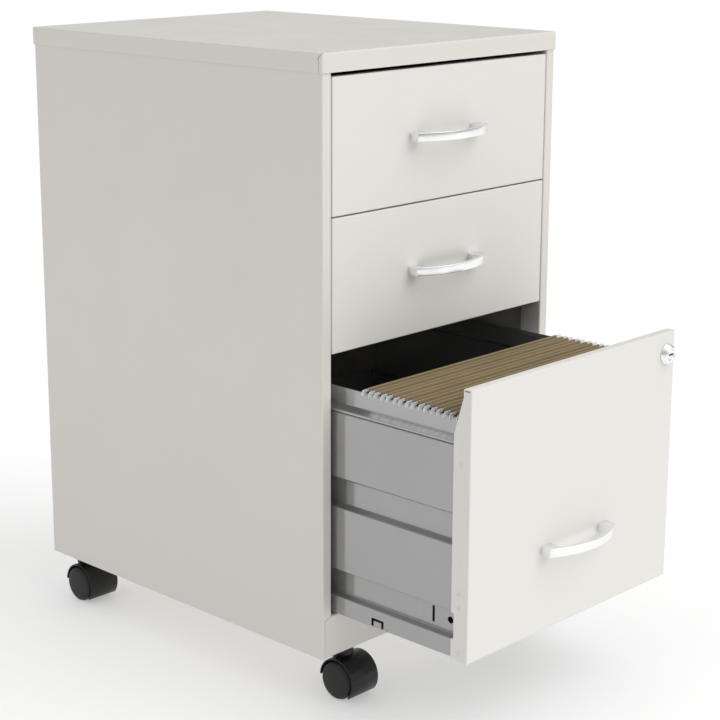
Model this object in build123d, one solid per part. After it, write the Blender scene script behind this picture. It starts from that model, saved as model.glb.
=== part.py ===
"""A three-drawer mobile pedestal cabinet in folded sheet steel, on four twin-wheel casters.

Millimetres. The origin is on the floor under the middle of the cabinet, +X to the right,
-Y to the front, +Z up. The file drawer stands open by FILE_DRAWER_OPEN.
"""

import os

from build123d import *

# Cabinet
WIDTH = 362.0
DEPTH = 457.0
BODY_HEIGHT = 622.0
CASTER_HEIGHT = 59.0
SHEET = 1.0
PAN_SHEET = 1.2
BEND = 1.6
CAP_OVERHANG = 1.3
CAP_SKIRT = 19.4
FRONT_FLANGE = 12.7
FLANGE_RETURN = 27.0
APRON_HEIGHT = 45.2
APRON_CHAMFER = 3.7

# Drawer fronts
FRONT_HALF_WIDTH = 165.6
FRONT_GAP = 1.5
TOP_GAP = 4.1
BOX_FRONT_HEIGHT = 136.9
FILE_FRONT_HEIGHT = 274.6
FRONT_FLANGE_DEPTH = 20.7
BOX_FLANGE_DEPTH = 16.0
FRONT_TOP_RETURN = 9.4
FILE_DRAWER_OPEN = 180.7

# Drawer bodies
INNER_SKIN = 156.0
OUTER_SKIN = 163.0
SIDE_BEND = 1.2
CHANNEL_HEIGHT = 27.0
DRAWER_BACK = 200.0
BOX_SIDE_HEIGHT = 104.0
CHANNEL_ABOVE_FRONT_BOTTOM = 22.0

# Handles and lock
HANDLE_SPACING = 96.0
HANDLE_LENGTH = 108.0
HANDLE_END_DEPTH = 12.0
HANDLE_BOW_DEPTH = 27.5
HANDLE_BAR = 3.4
HANDLE_HEIGHT = 9.0
FILE_HANDLE_ABOVE_BOTTOM = 87.0
LOCK_X = 152.0
LOCK_BELOW_TOP = 23.8
LOCK_BEZEL_RADIUS = 11.3
LOCK_FACE_RADIUS = 8.8
LOCK_PROUD = 6.0
LOCK_BARREL_LENGTH = 20.4
KEY_SLOT = (6.4, 2.2)

# Casters
WHEEL_RADIUS = 21.0
WHEEL_WIDTH = 17.6
HOOD_RADIUS = 24.0
CASTER_TRAIL = 9.0
CASTER_HALF_WIDTH = 21.5
CASTER_PLATE = (56.0, 34.0, 2.0)
CASTER_STEM_Y = 204.5
FRONT_CASTER_X = 126.5
REAR_CASTER_X = 148.0

# Hanging folders
FOLDER_COUNT = 8
FOLDER_PITCH = 16.3
FOLDER_MOUTH = 9.3
FOLDER_HALF_WIDTH = 150.8
FOLDER_HEIGHT = 233.0
FOLDER_CARD = 0.8
ROD_HALF_LENGTH = 160.6
ROD_HEIGHT = 2.4
ROD_ABOVE_RAIL = 1.1
ROD_THICK = 0.9

# Levels and planes that follow from the sizes above
FLOOR_PAN = CASTER_HEIGHT
TOP = CASTER_HEIGHT + BODY_HEIGHT
FRONT = -DEPTH / 2 + CAP_OVERHANG
BACK = DEPTH / 2 - CAP_OVERHANG
HALF_BODY = WIDTH / 2 - CAP_OVERHANG
OPENING_HALF = HALF_BODY - FRONT_FLANGE
FRONT_INSIDE = FRONT + SHEET
DRAWER_1_TOP = TOP - CAP_SKIRT - TOP_GAP
DRAWER_1_BOTTOM = DRAWER_1_TOP - BOX_FRONT_HEIGHT
DRAWER_2_TOP = DRAWER_1_BOTTOM - FRONT_GAP
DRAWER_2_BOTTOM = DRAWER_2_TOP - BOX_FRONT_HEIGHT
DRAWER_3_TOP = DRAWER_2_BOTTOM - FRONT_GAP
DRAWER_3_BOTTOM = DRAWER_3_TOP - FILE_FRONT_HEIGHT
BOX_BOTTOMS = (DRAWER_1_BOTTOM, DRAWER_2_BOTTOM)
CHANNEL_BOTTOMS = [bottom + CHANNEL_ABOVE_FRONT_BOTTOM for bottom in (*BOX_BOTTOMS, DRAWER_3_BOTTOM)]
APRON_TOP = FLOOR_PAN + APRON_HEIGHT
RAIL_TOP = DRAWER_3_TOP - 32.8
FILE_BACK_TOP = RAIL_TOP - 88.0
TRAY_FRONT = FRONT + FRONT_FLANGE_DEPTH - 1.0

parts = {}


# ---------------------------------------------------------------- shared shapes


def block(x0, x1, y0, y1, z0, z1):
    """A box between two corners."""
    size = Box(x1 - x0, y1 - y0, z1 - z0)
    return Pos((x0 + x1) / 2, (y0 + y1) / 2, (z0 + z1) / 2) * size


def folded(route, thickness=SHEET, bend=BEND, side=Side.RIGHT):
    """The section of a folded sheet: the route is its outer skin, and the sheet lies to one side."""
    skin = FilletPolyline(*route, radius=bend)
    return make_face(offset(skin, amount=thickness, side=side))


def outline(*points):
    """A flat face with straight sides."""
    return make_face(Polyline(*points, close=True))


def along_x(face, x0, x1):
    """Extrudes a (y, z) section from x0 to x1."""
    return extrude(Plane.YZ.offset(x0) * face, amount=x1 - x0)


def along_y(face, y0, y1):
    """Extrudes an (x, z) section from y0 to y1."""
    return extrude(Plane.XZ.offset(-y1) * face, amount=y1 - y0)


def along_z(face, z0, z1):
    """Extrudes an (x, y) section from z0 to z1."""
    return extrude(Plane.XY.offset(z0) * face, amount=z1 - z0)


def rod_x(radius, x0, x1, y, z):
    return Pos((x0 + x1) / 2, y, z) * Rot(0, 90, 0) * Cylinder(radius, x1 - x0)


def rod_y(radius, y0, y1, x, z):
    return Pos(x, (y0 + y1) / 2, z) * Rot(90, 0, 0) * Cylinder(radius, y1 - y0)


def rod_z(radius, z0, z1, x, y):
    return Pos(x, y, (z0 + z1) / 2) * Cylinder(radius, z1 - z0)


def other_side(shape):
    return mirror(shape, about=Plane.YZ)


def both_sides(shape):
    """The shape and its mirror image, as two separate solids."""
    return Compound([*shape.solids(), *other_side(shape).solids()])


# ---------------------------------------------------------------- cabinet


def make_top_panel():
    """The cap: a shallow tray turned upside down, with a seam where the front skirt wraps the corners."""
    half_x, half_y = WIDTH / 2, DEPTH / 2
    tray = block(-half_x, half_x, -half_y, half_y, TOP - CAP_SKIRT, TOP)
    tray = fillet(tray.edges().filter_by(Axis.Z), BEND)
    tray = fillet(tray.faces().sort_by(Axis.Z)[-1].edges(), BEND)
    inside = block(-half_x + SHEET, half_x - SHEET, -half_y + SHEET, half_y - SHEET, 0, TOP - SHEET)
    tray -= fillet(inside.edges().filter_by(Axis.Z), BEND - SHEET)
    wrap, gap, seam_top = 4.4, 0.6, 3.8
    for side in (-1, 1):
        x0, x1 = sorted((side * (half_x - 2 * SHEET), side * (half_x + SHEET)))
        seam = block(x0, x1, -half_y + wrap, -half_y + wrap + gap, 0, TOP - seam_top)
        mitre = Rot(45, 0, 0) * Box(x1 - x0, gap, 2 * wrap)
        seam += Pos((x0 + x1) / 2, -half_y + wrap - 1.2, TOP - seam_top + 0.9) * mitre
        tray -= seam
    parts["top_panel"] = tray


def make_side_panels():
    """One sheet each side, folded in at the front and back, with the front flange cut away for the apron."""
    left_skin = [
        (-OPENING_HALF, FRONT + FLANGE_RETURN),
        (-OPENING_HALF, FRONT),
        (-HALF_BODY, FRONT),
        (-HALF_BODY, BACK),
        (-OPENING_HALF, BACK),
    ]
    panel = along_z(folded(left_skin), FLOOR_PAN, TOP - SHEET)
    seam_x = HALF_BODY - 3.3
    cut = outline(
        (-seam_x, 0),
        (-seam_x, APRON_TOP - APRON_CHAMFER + 0.4),
        (-OPENING_HALF - 0.6, APRON_TOP + 0.4),
        (0, APRON_TOP + 0.4),
        (0, 0),
    )
    panel -= along_y(cut, FRONT - 5, FRONT + FLANGE_RETURN + 5)
    parts["left_side_panel"] = panel
    parts["right_side_panel"] = other_side(panel)


def make_back_panel():
    """A flat sheet held inside the rear flanges, with two shallow stiffening ribs."""
    plane = BACK - SHEET - 0.1
    half = HALF_BODY - SHEET - 0.7
    sheet = block(-half, half, plane - SHEET, plane, FLOOR_PAN + 0.5, TOP - SHEET - 0.1)
    for x in (-80, 80):
        rib = block(x - 9, x + 9, plane - SHEET - 2.0, plane, FLOOR_PAN + 60, TOP - 60)
        groove = block(x - 8, x + 8, plane - 2.0, plane + 1, FLOOR_PAN + 61, TOP - 61)
        sheet = sheet + rib - groove
    parts["back_panel"] = sheet


def make_base_pan():
    """Apron, floor and rear upstand in one folded sheet, with an upstand at each side."""
    apron_half = HALF_BODY - 3.6
    rear = BACK - 2 * SHEET - 0.2
    route = [
        (FRONT + 16, APRON_TOP),
        (FRONT, APRON_TOP),
        (FRONT, FLOOR_PAN),
        (rear, FLOOR_PAN),
        (rear, FLOOR_PAN + 24),
    ]
    pan = along_x(folded(route, PAN_SHEET, bend=1.8, side=Side.LEFT), -apron_half, apron_half)
    for side in (-1, 1):
        corner = outline(
            (side * (apron_half + 1), APRON_TOP - APRON_CHAMFER),
            (side * apron_half, APRON_TOP - APRON_CHAMFER),
            (side * (OPENING_HALF + 0.3), APRON_TOP),
            (side * (OPENING_HALF + 0.3), APRON_TOP + 1),
            (side * (apron_half + 1), APRON_TOP + 1),
        )
        pan -= along_y(corner, FRONT - 1, FRONT + 20)
        wall = HALF_BODY - SHEET - 0.1
        x0, x1 = sorted((side * (apron_half - 1), side * wall))
        pan += block(x0, x1, FRONT + 4, rear - 3, FLOOR_PAN, FLOOR_PAN + PAN_SHEET)
        x0, x1 = sorted((side * (wall - PAN_SHEET), side * wall))
        pan += block(x0, x1, FRONT + 20, rear - 3, FLOOR_PAN, FLOOR_PAN + 24)
    for x, y in caster_stems().values():
        for dx, dy in caster_screw_offsets():
            pan -= rod_z(2.7, FLOOR_PAN - 1, FLOOR_PAN + 3, x + dx, y + dy)
    parts["base_pan"] = pan


def make_cabinet_rails():
    """A steel channel each side of each bay, with a nylon glide in its mouth that the drawer slides on."""
    wall = HALF_BODY - SHEET
    rail_front = FRONT + FLANGE_RETURN + 1.2
    glides = []
    for number, channel in enumerate(CHANNEL_BOTTOMS, 1):
        low, high = channel + 1.5, channel + CHANNEL_HEIGHT - 1.5
        route = [
            (-OUTER_SKIN - 2.0, high),
            (-wall, high),
            (-wall, low),
            (-OUTER_SKIN - 2.0, low),
        ]
        rail = along_y(folded(route, PAN_SHEET, bend=1.8, side=Side.LEFT), rail_front, BACK - 12)
        parts[f"drawer_{number}_cabinet_rails"] = both_sides(rail)
        glide = block(-wall + 1.4, -OUTER_SKIN - 0.4, rail_front + 1, rail_front + 23, low + 1.4, high - 1.4)
        nose = block(
            -OUTER_SKIN - 0.6, -INNER_SKIN - 1.3, rail_front + 1, rail_front + 23,
            channel + 3.2, channel + CHANNEL_HEIGHT - 0.4,
        )
        glide += fillet(nose.edges().filter_by(Axis.X), 3.0)
        glides.append(both_sides(glide))
    parts["rail_glides"] = Compound([solid for pair in glides for solid in pair.solids()])


# ---------------------------------------------------------------- drawers


def front_pan(bottom, top, side_depth):
    """A drawer front: a face and a rim folded back all round, with a slit under each upper corner."""
    half = FRONT_HALF_WIDTH
    pan = block(-half, half, FRONT, FRONT + side_depth, bottom, top)
    pan = fillet(pan.edges().filter_by(Axis.Y), 1.0)
    pan = fillet(pan.faces().sort_by(Axis.Y)[0].edges(), 1.3)
    inside = block(
        -half + SHEET, half - SHEET, FRONT + SHEET, FRONT + side_depth + 1, bottom + SHEET, top - SHEET
    )
    pan -= inside
    rim = FRONT + FRONT_TOP_RETURN
    pan -= block(-half + 1.8, half - 1.8, rim, FRONT + side_depth + 1, top - 2 * SHEET, top + 1)
    pan -= block(-half + 1.8, half - 1.8, rim, FRONT + side_depth + 1, bottom - 1, bottom + 2 * SHEET)
    for side in (-1, 1):
        x0, x1 = sorted((side * (half - 1.4), side * (half + 1)))
        pan -= block(x0, x1, FRONT + 1.8, FRONT + 8.0, top - 2.3, top - 1.1)
    return pan


def box_front(bottom):
    pan = front_pan(bottom, bottom + BOX_FRONT_HEIGHT, BOX_FLANGE_DEPTH)
    return handle_holes(pan, bottom + BOX_FRONT_HEIGHT / 2)


def file_front():
    """The file drawer's front: its side flanges are cut back at the top, clear of the lock's cam."""
    half = FRONT_HALF_WIDTH
    pan = front_pan(DRAWER_3_BOTTOM, DRAWER_3_TOP, FRONT_FLANGE_DEPTH)
    rim, deep = FRONT + FRONT_TOP_RETURN, FRONT + FRONT_FLANGE_DEPTH
    relief = outline(
        (rim, DRAWER_3_TOP + 1),
        (rim, DRAWER_3_TOP - 8.0),
        (deep, DRAWER_3_TOP - 46.0),
        (deep + 1, DRAWER_3_TOP - 46.0),
        (deep + 1, DRAWER_3_TOP + 1),
    )
    pan -= along_x(relief, -half - 1, half + 1)
    channel = CHANNEL_BOTTOMS[2]
    notch = block(-half - 1, half + 1, deep - 3.2, deep + 1, channel, channel + CHANNEL_HEIGHT)
    pan -= fillet(notch.edges().filter_by(Axis.X), 2.0)
    pan -= rod_y(8.1, FRONT - 1, FRONT + 3, LOCK_X, DRAWER_3_TOP - LOCK_BELOW_TOP)
    return handle_holes(pan, DRAWER_3_BOTTOM + FILE_HANDLE_ABOVE_BOTTOM)


def handle_holes(pan, level):
    for x in (-HANDLE_SPACING / 2, HANDLE_SPACING / 2):
        pan -= rod_y(2.3, FRONT - 1, FRONT + 3, x, level)
    return pan


def make_handle(name, level):
    """A flat bar bowed between two feet, and the two screws that hold it from inside."""
    half, foot = HANDLE_LENGTH / 2, (HANDLE_LENGTH - HANDLE_SPACING)

    def under_arc(depth_at_end, depth_at_middle):
        bow = ThreePointArc((-half, -depth_at_end), (0, -depth_at_middle), (half, -depth_at_end))
        sides = Polyline((half, -depth_at_end), (half, 0), (-half, 0), (-half, -depth_at_end))
        return make_face(bow + sides)

    bar = under_arc(HANDLE_END_DEPTH, HANDLE_BOW_DEPTH)
    finger_space = under_arc(HANDLE_END_DEPTH - HANDLE_BAR, HANDLE_BOW_DEPTH - HANDLE_BAR)
    finger_space &= outline((-half + foot, 1), (half - foot, 1), (half - foot, -40), (-half + foot, -40))
    profile = bar - finger_space
    handle = along_z(profile, level - HANDLE_HEIGHT / 2, level + HANDLE_HEIGHT / 2)
    ends = [e for e in handle.edges().filter_by(Axis.Z) if e.center().Y < -HANDLE_END_DEPTH + 1]
    ends = [e for e in ends if abs(e.center().X) > half - 1]
    handle = fillet(ends, 2.6)
    handle = Pos(0, FRONT, 0) * handle
    screws = []
    for x in (-HANDLE_SPACING / 2, HANDLE_SPACING / 2):
        handle -= rod_y(2.05, FRONT - 8, FRONT + 1, x, level)
        head = fillet(rod_y(4.0, 0, 2.6, 0, 0).faces().sort_by(Axis.Y)[-1].edges(), 1.1)
        head -= block(-2.6, 2.6, 1.7, 3, -0.5, 0.5) + block(-0.5, 0.5, 1.7, 3, -2.6, 2.6)
        screw = Pos(x, FRONT_INSIDE, level) * head + rod_y(2.0, FRONT - 7.5, FRONT_INSIDE + 0.5, x, level)
        screws.append(screw.solid())
    parts[f"{name}_handle"] = handle
    parts[f"{name}_handle_screws"] = Compound(screws)


def box_side_skin(bottom):
    """The outer skin of a box drawer's left side, from the top lip to the floor's edge."""
    channel = bottom + CHANNEL_ABOVE_FRONT_BOTTOM
    top = bottom + BOX_SIDE_HEIGHT
    return [
        (-INNER_SKIN, top),
        (-INNER_SKIN, top - 12),
        (-OUTER_SKIN, top - 16),
        (-OUTER_SKIN, channel + CHANNEL_HEIGHT),
        (-INNER_SKIN, channel + CHANNEL_HEIGHT),
        (-INNER_SKIN, channel),
        (-OUTER_SKIN, channel - 1.2),
        (-OUTER_SKIN, bottom + 8),
        (0, bottom + 8),
    ]


def make_box_drawer(number, bottom):
    """A shallow drawer: front, one folded tray with its end walls, and its rear glides."""
    name = f"drawer_{number}"
    parts[f"{name}_front"] = box_front(bottom)
    half_tray = along_y(folded(box_side_skin(bottom), bend=SIDE_BEND, side=Side.LEFT), FRONT_INSIDE, DRAWER_BACK)
    tray = half_tray + other_side(half_tray)
    floor = bottom + 8 + SHEET
    inner = INNER_SKIN - SHEET
    top = bottom + BOX_SIDE_HEIGHT
    for y0 in (TRAY_FRONT - 6, DRAWER_BACK - SHEET):
        tray += block(-inner - 0.5, inner + 0.5, y0, y0 + SHEET, floor - 0.5, top - 2)
    parts[f"{name}_tray"] = tray
    parts[f"{name}_rear_glides"] = rear_glides(bottom + CHANNEL_ABOVE_FRONT_BOTTOM)
    make_handle(name, bottom + BOX_FRONT_HEIGHT / 2)


def rear_glides(channel):
    """A nylon block near the back of each side, running between the flanges of the cabinet's rail."""
    wall = HALF_BODY - SHEET
    low, high = channel + 1.5 + 1.6, channel + CHANNEL_HEIGHT - 1.5 - 1.6
    block_out = block(-wall + 1.7, -INNER_SKIN, DRAWER_BACK - 26, DRAWER_BACK - 4, low, high)
    return both_sides(fillet(block_out.edges().filter_by(Axis.X), 3.0))


def file_side_skin():
    """The outer skin of the file drawer's left side below the hanging rail."""
    channel = CHANNEL_BOTTOMS[2]
    ledge = RAIL_TOP - 25.0
    waist_top = RAIL_TOP - 93.0
    waist_bottom = RAIL_TOP - 121.8
    lip = DRAWER_3_BOTTOM + 1.2
    return [
        (-INNER_SKIN + SHEET, RAIL_TOP - 3),
        (-INNER_SKIN + SHEET, ledge + 5.2),
        (-OUTER_SKIN, ledge),
        (-OUTER_SKIN, waist_top),
        (-INNER_SKIN, waist_top - 3.5),
        (-INNER_SKIN, waist_bottom),
        (-OUTER_SKIN, waist_bottom - 3.5),
        (-OUTER_SKIN, channel + CHANNEL_HEIGHT),
        (-INNER_SKIN, channel + CHANNEL_HEIGHT),
        (-INNER_SKIN, channel),
        (-OUTER_SKIN, channel - 1.5),
        (-OUTER_SKIN, lip),
        (-INNER_SKIN + 8, lip),
    ]


def make_file_drawer_box():
    """Sides, hanging rails, floor, inner panel and back of the file drawer."""
    channel = CHANNEL_BOTTOMS[2]
    skin = folded(file_side_skin(), bend=SIDE_BEND, side=Side.LEFT)
    side = along_y(skin, FRONT_INSIDE, DRAWER_BACK)
    side -= block(-170, -150, -177.5, -174.5, channel + 5.6, channel + 22.5)
    side -= rod_x(3.5, -170, -150, -198, channel + 13.5)
    lip = DRAWER_3_BOTTOM + 1.2
    latch = block(-170, -158, -115.7, -99.0, lip + 1.6, lip + 9.8)
    latch -= block(-170, -158, -112.5, -102.2, lip + 1.6, lip + 7.2)
    side -= latch
    parts["drawer_3_left_side"] = side
    parts["drawer_3_right_side"] = other_side(side)
    rail_skin = [
        (-INNER_SKIN, RAIL_TOP),
        (-INNER_SKIN, RAIL_TOP - 16.9),
        (-OUTER_SKIN - 0.6, RAIL_TOP - 21.4),
        (-OUTER_SKIN - 0.6, RAIL_TOP - 23.6),
    ]
    rail = along_y(folded(rail_skin, bend=1.05, side=Side.LEFT), FRONT_INSIDE, DRAWER_BACK)
    parts["drawer_3_hanging_rails"] = both_sides(rail)

    inner = INNER_SKIN - 2 * SHEET - 0.1
    floor = lip + SHEET
    pan_route = [(inner, floor + 12), (inner, floor), (-inner, floor), (-inner, floor + 12)]
    parts["drawer_3_floor"] = along_y(folded(pan_route, side=Side.RIGHT), TRAY_FRONT + 0.2, DRAWER_BACK - 1.3)
    panel = block(-inner, inner, FRONT_INSIDE, TRAY_FRONT, floor + 1.4, RAIL_TOP - 5)
    panel = fillet(panel.faces().sort_by(Axis.Y)[-1].edges(), 1.6)
    panel -= block(
        -inner + SHEET, inner - SHEET, FRONT_INSIDE - 1, TRAY_FRONT - SHEET, floor + 2.4, RAIL_TOP - 6
    )
    panel = handle_screw_clearance(panel, DRAWER_3_BOTTOM + FILE_HANDLE_ABOVE_BOTTOM)
    parts["drawer_3_inner_panel"] = panel
    parts["drawer_3_back"] = file_drawer_back(inner, floor + 12.2)
    parts["drawer_3_rear_glides"] = rear_glides(channel)


def file_drawer_back(half, bottom):
    """A back lower than the sides, with short flanges folded forwards and cut to a slope at the top."""
    flange = DRAWER_BACK - 6.0
    route = [(half, flange), (half, DRAWER_BACK), (-half, DRAWER_BACK), (-half, flange)]
    back = along_z(folded(route, side=Side.LEFT), bottom, FILE_BACK_TOP)
    slope = outline(
        (flange - 1, FILE_BACK_TOP - 9.0),
        (DRAWER_BACK - BEND, FILE_BACK_TOP),
        (DRAWER_BACK - BEND, FILE_BACK_TOP + 1),
        (flange - 1, FILE_BACK_TOP + 1),
    )
    return back - along_x(slope, -half - 1, half + 1)


def handle_screw_clearance(panel, level):
    """Driver holes through the inner panel, in line with the handle screws."""
    for x in (-HANDLE_SPACING / 2, HANDLE_SPACING / 2):
        panel -= rod_y(5.0, TRAY_FRONT - 4, TRAY_FRONT + 1, x, level)
    return panel


def make_lock():
    """A cam lock, unlocked: the housing and its nut stay put, the plug turns the cam half a turn to lock."""
    z = DRAWER_3_TOP - LOCK_BELOW_TOP
    face = FRONT - LOCK_PROUD
    cone = Cone(LOCK_BEZEL_RADIUS - 0.6, LOCK_FACE_RADIUS, LOCK_PROUD - 1.0)
    bezel = Pos(LOCK_X, FRONT - 1.0 - (LOCK_PROUD - 1.0) / 2, z) * Rot(90, 0, 0) * cone
    bezel += rod_y(LOCK_BEZEL_RADIUS, FRONT - 1.0, FRONT, LOCK_X, z)
    barrel_end = FRONT + LOCK_BARREL_LENGTH
    housing = bezel + rod_y(8.0, FRONT, barrel_end, LOCK_X, z)
    housing -= rod_y(5.55, face - 1, barrel_end + 1, LOCK_X, z)
    parts["lock_housing"] = housing
    nut = along_y(RegularPolygon(10.2, 6), FRONT_INSIDE, FRONT_INSIDE + 3)
    nut = Pos(LOCK_X, 0, z) * nut
    parts["lock_nut"] = nut - rod_y(8.02, FRONT_INSIDE - 1, FRONT_INSIDE + 4, LOCK_X, z)
    cam_front = FRONT + FLANGE_RETURN + 1.0
    plug = rod_y(5.5, face + 0.2, barrel_end + 0.2, LOCK_X, z)
    slot = SlotCenterToCenter(*KEY_SLOT)
    slot = along_y(slot, face - 1, face + 9)
    plug -= Pos(LOCK_X, 0, z) * slot
    plug += rod_y(4.2, barrel_end, cam_front, LOCK_X, z)
    plug += rod_y(2.6, cam_front, cam_front + 3.4, LOCK_X, z)
    parts["lock_plug"] = plug
    cam = along_y(SlotCenterToCenter(15.0, 9.0), cam_front, cam_front + 2)
    cam = Pos(LOCK_X - 7.5, 0, z) * cam
    parts["lock_cam"] = cam - rod_y(2.6, cam_front - 1, cam_front + 3, LOCK_X, z)


def in_open_drawer():
    """Moves the file drawer and what it carries from its shut place to where it stands open."""
    carried = ("drawer_3_", "lock_")
    for name, shape in parts.items():
        if name.startswith(carried) and not name.endswith("cabinet_rails"):
            parts[name] = Pos(0, -FILE_DRAWER_OPEN, 0) * shape


# ---------------------------------------------------------------- hanging folders


def folder_middles():
    """Where each folder hangs, from the one nearest the front of the open drawer."""
    nearest = FRONT - FILE_DRAWER_OPEN + FRONT_FLANGE_DEPTH + 5.7
    return [nearest + number * FOLDER_PITCH for number in range(FOLDER_COUNT)]


def make_folders():
    """Card folders, each a narrow V hung from two flat rods whose notched ends rest on the rails."""
    card = FOLDER_CARD
    top = RAIL_TOP + ROD_ABOVE_RAIL
    low = top - FOLDER_HEIGHT
    folders, rods = [], []
    for middle in folder_middles():
        leg = FOLDER_MOUTH / 2
        section = outline(
            (middle - leg - card / 2, top),
            (middle - card, low),
            (middle + card, low),
            (middle + leg + card / 2, top),
            (middle + leg - card / 2, top),
            (middle, low + 2 * card),
            (middle - leg + card / 2, top),
        )
        folder = along_x(section, -FOLDER_HALF_WIDTH, FOLDER_HALF_WIDTH)
        folders.append(folder.solid())
        for y in (middle - leg, middle + leg):
            rods.append(folder_rod(y))
    parts["hanging_folders"] = Compound(folders)
    parts["folder_rods"] = Compound(rods)


def folder_rod(y):
    """A flat rod that lies along a folder's top edge and hooks over both rails."""
    half, hook, prong = ROD_HALF_LENGTH, INNER_SKIN + 1.1, RAIL_TOP - 3.0
    low = RAIL_TOP + ROD_ABOVE_RAIL
    high = low + ROD_HEIGHT
    notch = RAIL_TOP + 0.05
    rod = outline(
        (-half, prong),
        (-half, high - 2.0),
        (-half + 3, high),
        (half - 3, high),
        (half, high - 2.0),
        (half, prong),
        (hook, prong),
        (hook, notch),
        (hook - 3.2, notch),
        (hook - 5.0, low),
        (-hook + 5.0, low),
        (-hook + 3.2, notch),
        (-hook, notch),
        (-hook, prong),
    )
    return along_y(rod, y - ROD_THICK / 2, y + ROD_THICK / 2).solid()


# ---------------------------------------------------------------- casters


def caster_stems():
    """Where each caster's swivel axis stands."""
    return {
        "front_left": (-FRONT_CASTER_X, -CASTER_STEM_Y),
        "front_right": (FRONT_CASTER_X, -CASTER_STEM_Y),
        "rear_left": (-REAR_CASTER_X, CASTER_STEM_Y),
        "rear_right": (REAR_CASTER_X, CASTER_STEM_Y),
    }


def caster_screw_offsets():
    return [(dx, dy) for dx in (-22.0, 22.0) for dy in (-11.0, 11.0)]


def caster_plate():
    """Mounting plate with the swivel pin riveted into it."""
    long, wide, thick = CASTER_PLATE
    plate = block(-long / 2, long / 2, -wide / 2, wide / 2, CASTER_HEIGHT - thick, CASTER_HEIGHT)
    plate = fillet(plate.edges().filter_by(Axis.Z), 4.0)
    for dx, dy in caster_screw_offsets():
        plate -= rod_z(2.7, 0, 100, dx, dy)
    return plate + rod_z(4.0, 45.0, CASTER_HEIGHT - thick, 0, 0)


def caster_hood():
    """Swivel housing: a round neck, a hood over both wheels and a web that holds the axle."""
    axle_y, axle_z = -CASTER_TRAIL, WHEEL_RADIUS
    half = CASTER_HALF_WIDTH - 1.5
    hood = rod_x(HOOD_RADIUS, -half, half, axle_y, axle_z)
    hood = fillet(hood.edges(), 1.2)
    hood -= rod_x(HOOD_RADIUS - 2.0, -half - 1, half + 1, axle_y, axle_z)
    open_side = outline(
        (axle_y, axle_z),
        (axle_y + 40, axle_z + 1.0),
        (axle_y + 40, axle_z - 60),
        (axle_y - 20, axle_z - 60),
        (axle_y - 38, axle_z - 26),
    )
    hood -= along_x(open_side, -half - 1, half + 1)
    web = rod_x(HOOD_RADIUS - 1.0, -2.0, 2.0, axle_y, axle_z)
    web -= along_x(open_side, -3, 3)
    web += rod_x(7.0, -2.0, 2.0, axle_y, axle_z)
    neck = rod_z(11.0, axle_z + 12, CASTER_HEIGHT - CASTER_PLATE[2] - 0.7, 0, 0)
    neck = fillet(neck.faces().sort_by(Axis.Z)[-1].edges(), 1.5)
    neck -= rod_x(HOOD_RADIUS - 2.0, -half - 1, half + 1, axle_y, axle_z)
    hood += web + neck
    hood -= rod_z(4.05, 44.6, CASTER_HEIGHT, 0, 0)
    return hood - rod_x(3.0, -3, 3, axle_y, axle_z)


def caster_wheel(side):
    """One wheel of the pair, with a dished outer face and a rounded tread."""
    inner = 2.6
    outer = inner + WHEEL_WIDTH
    axis = Plane.XZ
    face_rim = outer + 1.3
    section = Polyline((inner, 3.05), (inner, WHEEL_RADIUS - 1.5), (inner + 1.5, WHEEL_RADIUS))
    section += Line((inner + 1.5, WHEEL_RADIUS), (outer - 1.5, WHEEL_RADIUS))
    section += ThreePointArc(
        (outer - 1.5, WHEEL_RADIUS), (outer + 0.5, WHEEL_RADIUS - 1.0), (face_rim, WHEEL_RADIUS - 3.2)
    )
    section += Polyline((face_rim, WHEEL_RADIUS - 3.2), (face_rim + 0.6, 6.0), (face_rim + 0.6, 0))
    section += Polyline((face_rim + 0.6, 0), (outer - 0.6, 0), (outer - 0.6, 3.05), (inner, 3.05))
    wheel = revolve(axis * make_face(section), Axis.X, 360)
    if side < 0:
        wheel = other_side(wheel)
    return Pos(0, -CASTER_TRAIL, WHEEL_RADIUS) * wheel


def make_casters():
    screws = []
    for corner, (x, y) in caster_stems().items():
        place = Pos(x, y, 0)
        outward = -1 if x < 0 else 1
        name = f"caster_{corner}"
        parts[f"{name}_plate"] = place * caster_plate()
        parts[f"{name}_hood"] = place * caster_hood()
        axle = rod_x(3.0, -19.2, 19.2, -CASTER_TRAIL, WHEEL_RADIUS)
        parts[f"{name}_axle"] = place * axle
        parts[f"{name}_outer_wheel"] = place * caster_wheel(outward)
        parts[f"{name}_inner_wheel"] = place * caster_wheel(-outward)
        for dx, dy in caster_screw_offsets():
            screws.append(place * Pos(dx, dy, 0) * caster_screw())
    parts["caster_screws"] = Compound([screw.solid() for screw in screws])


def caster_screw():
    """A pan-head screw up through the plate and the base pan."""
    under = CASTER_HEIGHT - CASTER_PLATE[2]
    head = rod_z(4.4, under - 2.4, under, 0, 0)
    head = fillet(head.faces().sort_by(Axis.Z)[0].edges(), 1.2)
    return head + rod_z(2.5, under, CASTER_HEIGHT + 4.5, 0, 0)


# ---------------------------------------------------------------- build and write


def main():
    make_top_panel()
    make_side_panels()
    make_back_panel()
    make_base_pan()
    make_cabinet_rails()
    for number, bottom in enumerate(BOX_BOTTOMS, 1):
        make_box_drawer(number, bottom)
    parts["drawer_3_front"] = file_front()
    make_file_drawer_box()
    make_handle("drawer_3", DRAWER_3_BOTTOM + FILE_HANDLE_ABOVE_BOTTOM)
    make_lock()
    in_open_drawer()
    make_folders()
    make_casters()

    os.makedirs("parts", exist_ok=True)
    for name, shape in parts.items():
        export_step(shape, f"parts/{name}.step")
        print(name, round(shape.volume))


main()
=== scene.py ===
"""Looks of a three-drawer steel pedestal cabinet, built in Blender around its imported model.

Metres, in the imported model's own frame: the origin is on the floor under the cabinet, +X is to
its right, -Y to its front and +Z up. The file drawer stands open.
"""

import math
import random

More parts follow.
